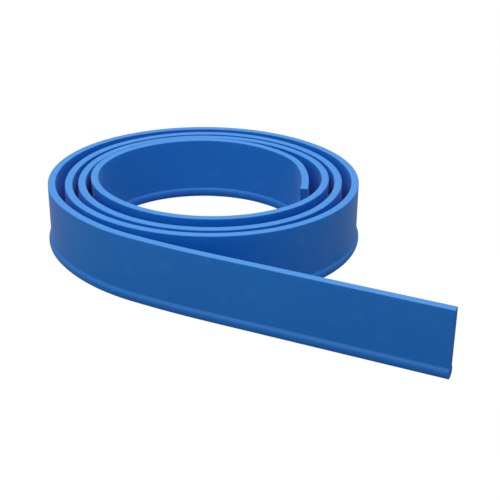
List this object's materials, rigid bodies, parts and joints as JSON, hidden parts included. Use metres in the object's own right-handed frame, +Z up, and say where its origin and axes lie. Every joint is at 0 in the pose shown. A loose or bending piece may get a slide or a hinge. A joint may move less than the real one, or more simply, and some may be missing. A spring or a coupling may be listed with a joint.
{
  "type": "squeegee blade stock",
  "caption": "Loose coil of squeegee blade stock: one flexible strip with a flat web and a round bead along its lower edge, its tail running out straight.",
  "frame": {"origin": "centre of the footprint of the whole strip as it lies, on the surface that it stands on", "axes": "+Z up along the height of the strip, +X towards the side where the tail ends, -Y towards the tail and the front"},
  "size_m": [0.2842, 0.319, 0.05],
  "materials": {
    "polyurethane": "satin extruded blue polyurethane"
  },
  "bodies": {
    "coil": {"turn_1_back": "polyurethane", "turn_1_left": "polyurethane", "turn_1_front": "polyurethane", "turn_2_right": "polyurethane", "turn_2_back": "polyurethane", "turn_2_left": "polyurethane", "turn_2_front": "polyurethane", "turn_3_right": "polyurethane", "turn_3_back": "polyurethane", "turn_3_left": "polyurethane", "turn_3_front": "polyurethane", "turn_4_right": "polyurethane", "turn_4_back": "polyurethane", "turn_4_left": "polyurethane", "tail_bend": "polyurethane"},
    "inner_end_1": {"inner_end_1": "polyurethane"},
    "inner_end_2": {"inner_end_2": "polyurethane"},
    "inner_end_3": {"inner_end_3": "polyurethane"},
    "tail_1": {"tail_1": "polyurethane"},
    "tail_2": {"tail_2": "polyurethane"},
    "tail_3": {"tail_3": "polyurethane"},
    "tail_4": {"tail_4": "polyurethane"},
    "tail_5": {"tail_5": "polyurethane"},
    "tail_6": {"tail_6": "polyurethane"},
    "tail_7": {"tail_7": "polyurethane"}
  },
  "joints": [
    {"name": "inner_flex_1", "type": "hinge", "parent": "coil", "child": "inner_end_3", "pos_m": [0.04414, 0.09249, 0.025], "axis": [0, 0, 1], "range_deg": [-6, 0.15], "stiffness_Nm_per_rad": 0.6},
    {"name": "inner_flex_2", "type": "hinge", "parent": "inner_end_3", "child": "inner_end_2", "pos_m": [0.05422, 0.07088, 0.025], "axis": [0, 0, 1], "range_deg": [-6, 0.15], "stiffness_Nm_per_rad": 0.6},
    {"name": "inner_flex_3", "type": "hinge", "parent": "inner_end_2", "child": "inner_end_1", "pos_m": [0.05682, 0.04802, 0.025], "axis": [0, 0, 1], "range_deg": [-6, 0.15], "stiffness_Nm_per_rad": 0.6},
    {"name": "tail_flex_1", "type": "hinge", "parent": "coil", "child": "tail_1", "pos_m": [-0.06705, -0.05999, 0.025], "axis": [0, 0, 1], "range_deg": [-2, 8], "stiffness_Nm_per_rad": 0.6},
    {"name": "tail_flex_2", "type": "hinge", "parent": "tail_1", "child": "tail_2", "pos_m": [-0.04002, -0.07421, 0.025], "axis": [0, 0, 1], "range_deg": [-2.76, 11.01], "stiffness_Nm_per_rad": 0.6},
    {"name": "tail_flex_3", "type": "hinge", "parent": "tail_2", "child": "tail_3", "pos_m": [-0.01239, -0.08724, 0.025], "axis": [0, 0, 1], "range_deg": [-3.38, 13.51], "stiffness_Nm_per_rad": 0.6},
    {"name": "tail_flex_4", "type": "hinge", "parent": "tail_3", "child": "tail_4", "pos_m": [0.01812, -0.10082, 0.025], "axis": [0, 0, 1], "range_deg": [-3.76, 15.01], "stiffness_Nm_per_rad": 0.6},
    {"name": "tail_flex_5", "type": "hinge", "parent": "tail_4", "child": "tail_5", "pos_m": [0.04863, -0.11441, 0.025], "axis": [0, 0, 1], "range_deg": [-4.01, 16.01], "stiffness_Nm_per_rad": 0.6},
    {"name": "tail_flex_6", "type": "hinge", "parent": "tail_5", "child": "tail_6", "pos_m": [0.07914, -0.12799, 0.025], "axis": [0, 0, 1], "range_deg": [-4.13, 16.51], "stiffness_Nm_per_rad": 0.6},
    {"name": "tail_flex_7", "type": "hinge", "parent": "tail_6", "child": "tail_7", "pos_m": [0.10966, -0.14158, 0.025], "axis": [0, 0, 1], "range_deg": [-4.26, 17.01], "stiffness_Nm_per_rad": 0.6}
  ],
  "couplings": [
    {"joint": "inner_flex_2", "follows": "inner_flex_1", "ratio": 1},
    {"joint": "inner_flex_3", "follows": "inner_flex_1", "ratio": 1},
    {"joint": "tail_flex_2", "follows": "tail_flex_1", "ratio": 1.375},
    {"joint": "tail_flex_3", "follows": "tail_flex_1", "ratio": 1.6875},
    {"joint": "tail_flex_4", "follows": "tail_flex_1", "ratio": 1.875},
    {"joint": "tail_flex_5", "follows": "tail_flex_1", "ratio": 2},
    {"joint": "tail_flex_6", "follows": "tail_flex_1", "ratio": 2.0625},
    {"joint": "tail_flex_7", "follows": "tail_flex_1", "ratio": 2.125}
  ]
}
